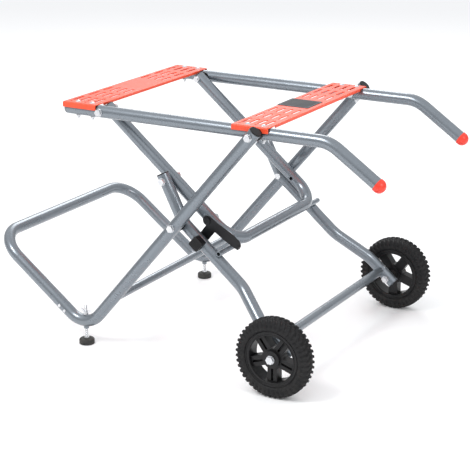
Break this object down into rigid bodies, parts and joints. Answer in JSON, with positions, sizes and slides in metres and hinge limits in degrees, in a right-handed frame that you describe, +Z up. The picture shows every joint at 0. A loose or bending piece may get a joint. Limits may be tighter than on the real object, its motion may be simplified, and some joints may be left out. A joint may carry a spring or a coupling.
{
  "type": "folding mitre saw stand",
  "caption": "Folding wheeled stand for a mitre saw: slotted plates on two bent rails, crossed tube legs linked to fold together, a latch, levelling feet and a foot loop.",
  "frame": {"origin": "on the floor under the middle of the overall length and width", "axes": "+X along the rails towards the handles and wheels, +Y from the latch side to the far side, +Z up"},
  "size_m": [1.1302, 0.7768, 0.6516],
  "materials": {
    "tube_paint": "satin metallic grey powder coat",
    "plate_paint": "semi-gloss orange-red enamel",
    "zinc": "bright zinc plate",
    "black_plastic": "moulded black plastic",
    "cap_plastic": "moulded red-orange plastic",
    "rim_plastic": "moulded black plastic",
    "tyre": "black rubber",
    "pad_rubber": "moulded black rubber",
    "label": "blank dark grey film",
    "dark_steel": "blackened steel",
    "grey_plastic": "grey plastic"
  },
  "bodies": {
    "top_frame": {"rail_front": "tube_paint", "rail_rear": "tube_paint", "rail_plugs": "grey_plastic", "handle_caps": "cap_plastic", "mount_plate_left": "plate_paint", "mount_plate_right": "plate_paint", "label_plate": "label", "plate_bolts": "zinc", "plate_nuts": "zinc", "inner_pivot_bolts": "zinc", "inner_pivot_nuts": "zinc", "inner_pivot_washers": "black_plastic", "foot_pivot_bolts": "zinc", "foot_pivot_nuts": "zinc", "foot_pivot_spacers": "black_plastic"},
    "inner_leg_frame": {"inner_frame": "tube_paint", "inner_frame_plugs": "black_plastic", "link_nuts": "zinc", "latch_bolt": "dark_steel", "latch_nut": "zinc", "stop_pins": "tube_paint"},
    "latch": {"latch_lever": "dark_steel"},
    "foot_frame": {"foot_leg_front": "tube_paint", "foot_leg_rear": "tube_paint", "foot_loop": "tube_paint", "foot_brace": "tube_paint", "foot_leg_plugs": "black_plastic", "loop_screws": "zinc", "leveller_nuts": "tube_paint", "wheel_pivot_bolts": "zinc", "wheel_pivot_nuts": "zinc", "wheel_pivot_spacers": "black_plastic"},
    "wheel_frame": {"wheel_leg_front": "tube_paint", "wheel_leg_rear": "tube_paint", "wheel_leg_plugs": "black_plastic", "axle_tube": "tube_paint", "axle_tube_screws": "zinc", "axle_bolts": "zinc", "axle_nuts": "zinc", "link_bolts": "zinc", "lock_stud": "zinc", "lock_block": "black_plastic"},
    "leveller_front": {"leveller_rod_front": "zinc", "leveller_pad_front": "pad_rubber"},
    "wing_nut_body_front": {"wing_nut_front": "zinc"},
    "wheel_front": {"wheel_rim_front": "rim_plastic", "wheel_tyre_front": "tyre", "wheel_bush_front": "black_plastic"},
    "leveller_rear": {"leveller_rod_rear": "zinc", "leveller_pad_rear": "pad_rubber"},
    "wing_nut_body_rear": {"wing_nut_rear": "zinc"},
    "wheel_rear": {"wheel_rim_rear": "rim_plastic", "wheel_tyre_rear": "tyre", "wheel_bush_rear": "black_plastic"}
  },
  "joints": [
    {"name": "fold_pivot", "type": "hinge", "parent": "top_frame", "child": "foot_frame", "pos_m": [0.23291, 0, 0.627], "axis": [0, 1, 0], "range_deg": [0, 42.48]},
    {"name": "inner_pivot", "type": "hinge", "parent": "top_frame", "child": "inner_leg_frame", "pos_m": [-0.22709, 0, 0.627], "axis": [0, 1, 0], "range_deg": [-27, 0]},
    {"name": "wheel_frame_pivot", "type": "hinge", "parent": "foot_frame", "child": "wheel_frame", "pos_m": [0.013, 0, 0.36769], "axis": [0, 1, 0], "range_deg": [0, 80.3]},
    {"name": "latch_pivot", "type": "hinge", "parent": "inner_leg_frame", "child": "latch", "pos_m": [0.07254, 0, 0.37736], "axis": [0, 1, 0], "range_deg": [0, 11], "stiffness_Nm_per_rad": 0.4, "springref_deg": -22.92},
    {"name": "wheel_spin_front", "type": "hinge", "parent": "wheel_frame", "child": "wheel_front", "pos_m": [0.33016, -0.359, 0.1016], "axis": [0, 1, 0], "continuous": true},
    {"name": "leveller_slide_front", "type": "slide", "parent": "foot_frame", "child": "leveller_front", "axis": [0, 0, 1], "range_m": [-0.02, 0.008]},
    {"name": "wing_nut_turn_front", "type": "hinge", "parent": "foot_frame", "child": "wing_nut_body_front", "pos_m": [-0.26662, -0.305, 0.085], "axis": [0, 0, 1], "continuous": true},
    {"name": "wheel_spin_rear", "type": "hinge", "parent": "wheel_frame", "child": "wheel_rear", "pos_m": [0.33016, 0.359, 0.1016], "axis": [0, 1, 0], "continuous": true},
    {"name": "leveller_slide_rear", "type": "slide", "parent": "foot_frame", "child": "leveller_rear", "axis": [0, 0, 1], "range_m": [-0.02, 0.008]},
    {"name": "wing_nut_turn_rear", "type": "hinge", "parent": "foot_frame", "child": "wing_nut_body_rear", "pos_m": [-0.26662, 0.305, 0.085], "axis": [0, 0, 1], "continuous": true}
  ],
  "couplings": [
    {"joint": "inner_pivot", "follows": "fold_pivot", "ratio": -0.6345},
    {"joint": "wheel_frame_pivot", "follows": "fold_pivot", "ratio": 1.8895}
  ]
}
